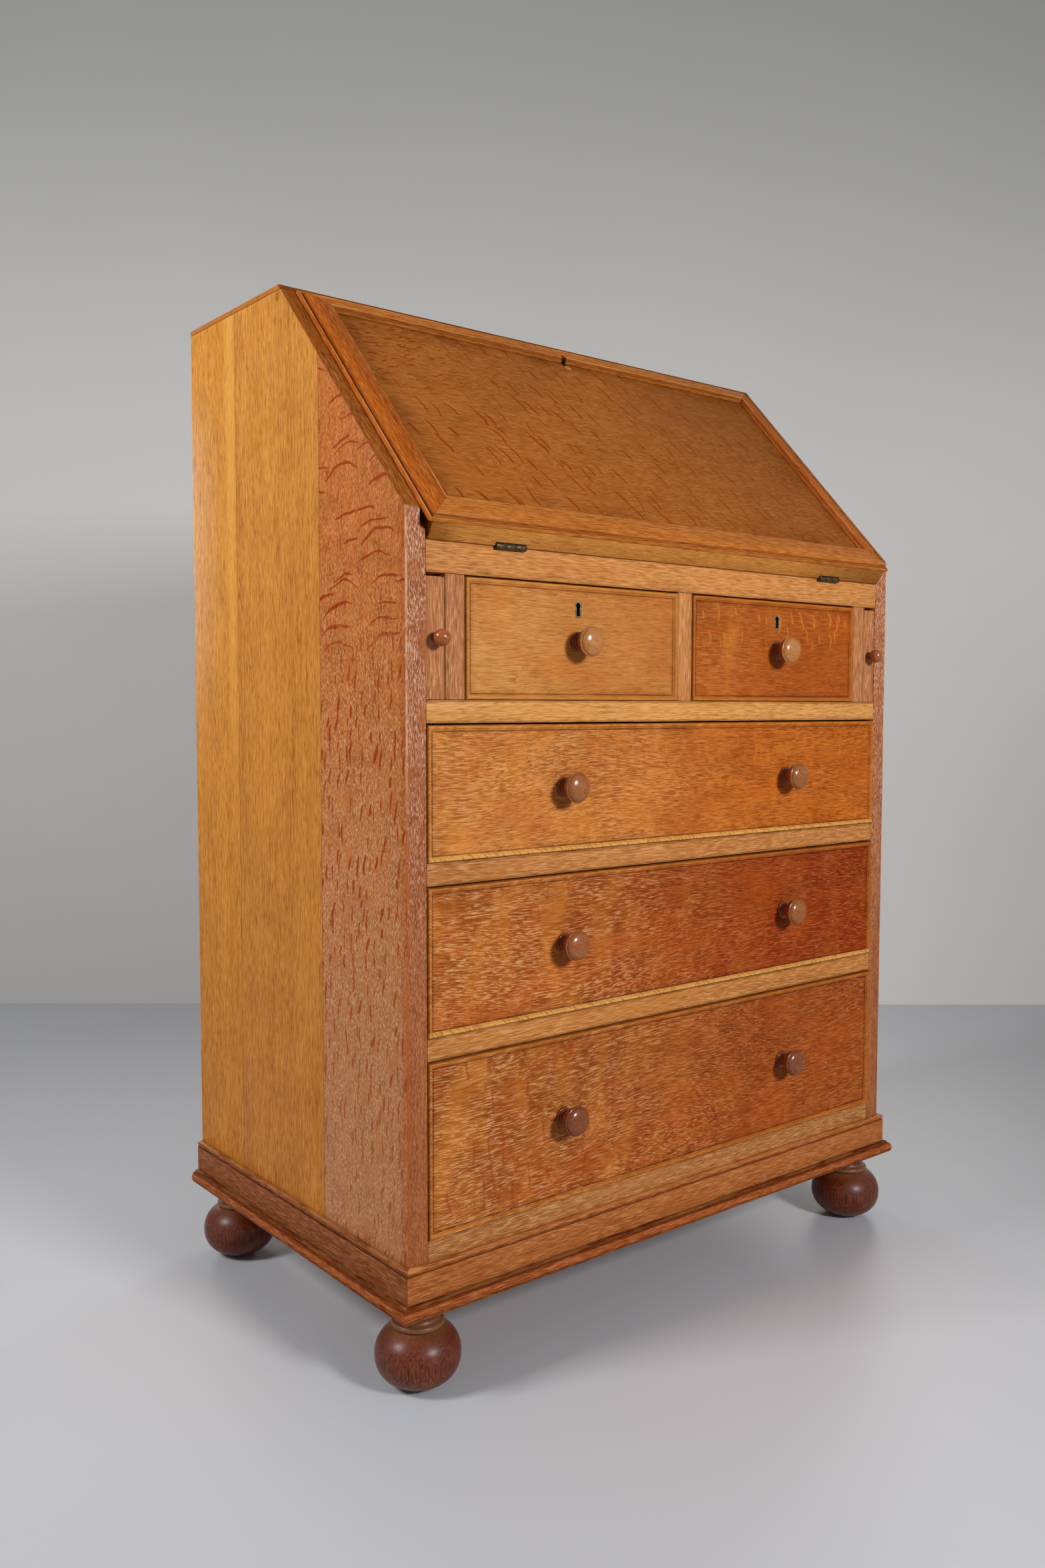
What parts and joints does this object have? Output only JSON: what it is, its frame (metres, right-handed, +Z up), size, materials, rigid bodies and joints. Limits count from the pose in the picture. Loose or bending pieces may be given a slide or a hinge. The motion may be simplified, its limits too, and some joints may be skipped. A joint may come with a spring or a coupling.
{
  "type": "writing bureau",
  "caption": "Oak slope-front writing bureau: moulded hinged fall over pigeonholes, pull-out lopers, and beaded drawers with turned mushroom knobs, on bun feet.",
  "frame": {"origin": "on the floor, at the middle of the overall box", "axes": "+X to the right of a person facing the front, +Y from the front to the back, +Z up"},
  "size_m": [0.7176, 0.4564, 1.0415],
  "materials": {
    "oak_side": "waxed oak, golden brown, satin",
    "oak_front": "waxed oak, orange brown, satin",
    "oak_fall": "waxed quarter-sawn oak, mid brown, satin",
    "oak_foot": "dark red-brown polish, semi-gloss",
    "oak_inside": "plain unpolished oak",
    "dark_brass": "dark, tarnished"
  },
  "bodies": {
    "case": {"side_left": "oak_side", "side_right": "oak_side", "top_board": "oak_side", "back_panel": "oak_inside", "base_board": "oak_side", "plinth_front": "oak_front", "plinth_left": "oak_front", "plinth_right": "oak_front", "foot_front_left": "oak_foot", "foot_front_right": "oak_foot", "foot_back_left": "oak_foot", "foot_back_right": "oak_foot", "fall_rail": "oak_front", "upper_rail": "oak_front", "middle_rail": "oak_front", "lower_rail": "oak_front", "bottom_rail": "oak_front", "partition_left": "oak_front", "partition_center": "oak_front", "partition_right": "oak_front", "writing_bed": "oak_inside", "dustboard_upper": "oak_inside", "dustboard_middle": "oak_inside", "dustboard_lower": "oak_inside", "dustboard_bottom": "oak_inside", "pigeonhole_rack": "oak_inside", "hinge_rail_leaf_left": "dark_brass", "hinge_rail_leaf_right": "dark_brass", "hinge_pin_left": "dark_brass", "hinge_pin_right": "dark_brass"},
    "fall": {"fall_board": "oak_fall", "fall_moulding_top": "oak_fall", "fall_moulding_bottom": "oak_fall", "fall_moulding_left": "oak_fall", "fall_moulding_right": "oak_fall", "fall_lock": "dark_brass", "hinge_fall_leaf_left": "dark_brass", "hinge_fall_leaf_right": "dark_brass"},
    "left_loper": {"loper_left": "oak_front", "loper_left_knob": "oak_front"},
    "right_loper": {"loper_right": "oak_front", "loper_right_knob": "oak_front"},
    "small_left_drawer": {"drawer_small_left_front": "oak_front", "drawer_small_left_box": "oak_inside", "drawer_small_left_knob": "oak_front"},
    "small_right_drawer": {"drawer_small_right_front": "oak_front", "drawer_small_right_box": "oak_inside", "drawer_small_right_knob": "oak_front"},
    "upper_drawer": {"drawer_upper_front": "oak_front", "drawer_upper_box": "oak_inside", "drawer_upper_knob_left": "oak_front", "drawer_upper_knob_right": "oak_front"},
    "middle_drawer": {"drawer_middle_front": "oak_front", "drawer_middle_box": "oak_inside", "drawer_middle_knob_left": "oak_front", "drawer_middle_knob_right": "oak_front"},
    "lower_drawer": {"drawer_lower_front": "oak_front", "drawer_lower_box": "oak_inside", "drawer_lower_knob_left": "oak_front", "drawer_lower_knob_right": "oak_front"}
  },
  "joints": [
    {"name": "fall_hinge", "type": "hinge", "parent": "case", "child": "fall", "pos_m": [0, -0.20375, 0.7713], "axis": [1, 0, 0], "range_deg": [0, 132.7]},
    {"name": "left_loper_slide", "type": "slide", "parent": "case", "child": "left_loper", "axis": [0, -1, 0], "range_m": [0, 0.26]},
    {"name": "right_loper_slide", "type": "slide", "parent": "case", "child": "right_loper", "axis": [0, -1, 0], "range_m": [0, 0.26]},
    {"name": "small_left_drawer_slide", "type": "slide", "parent": "case", "child": "small_left_drawer", "axis": [0, -1, 0], "range_m": [0, 0.28]},
    {"name": "small_right_drawer_slide", "type": "slide", "parent": "case", "child": "small_right_drawer", "axis": [0, -1, 0], "range_m": [0, 0.28]},
    {"name": "upper_drawer_slide", "type": "slide", "parent": "case", "child": "upper_drawer", "axis": [0, -1, 0], "range_m": [0, 0.28]},
    {"name": "middle_drawer_slide", "type": "slide", "parent": "case", "child": "middle_drawer", "axis": [0, -1, 0], "range_m": [0, 0.28]},
    {"name": "lower_drawer_slide", "type": "slide", "parent": "case", "child": "lower_drawer", "axis": [0, -1, 0], "range_m": [0, 0.28]}
  ]
}
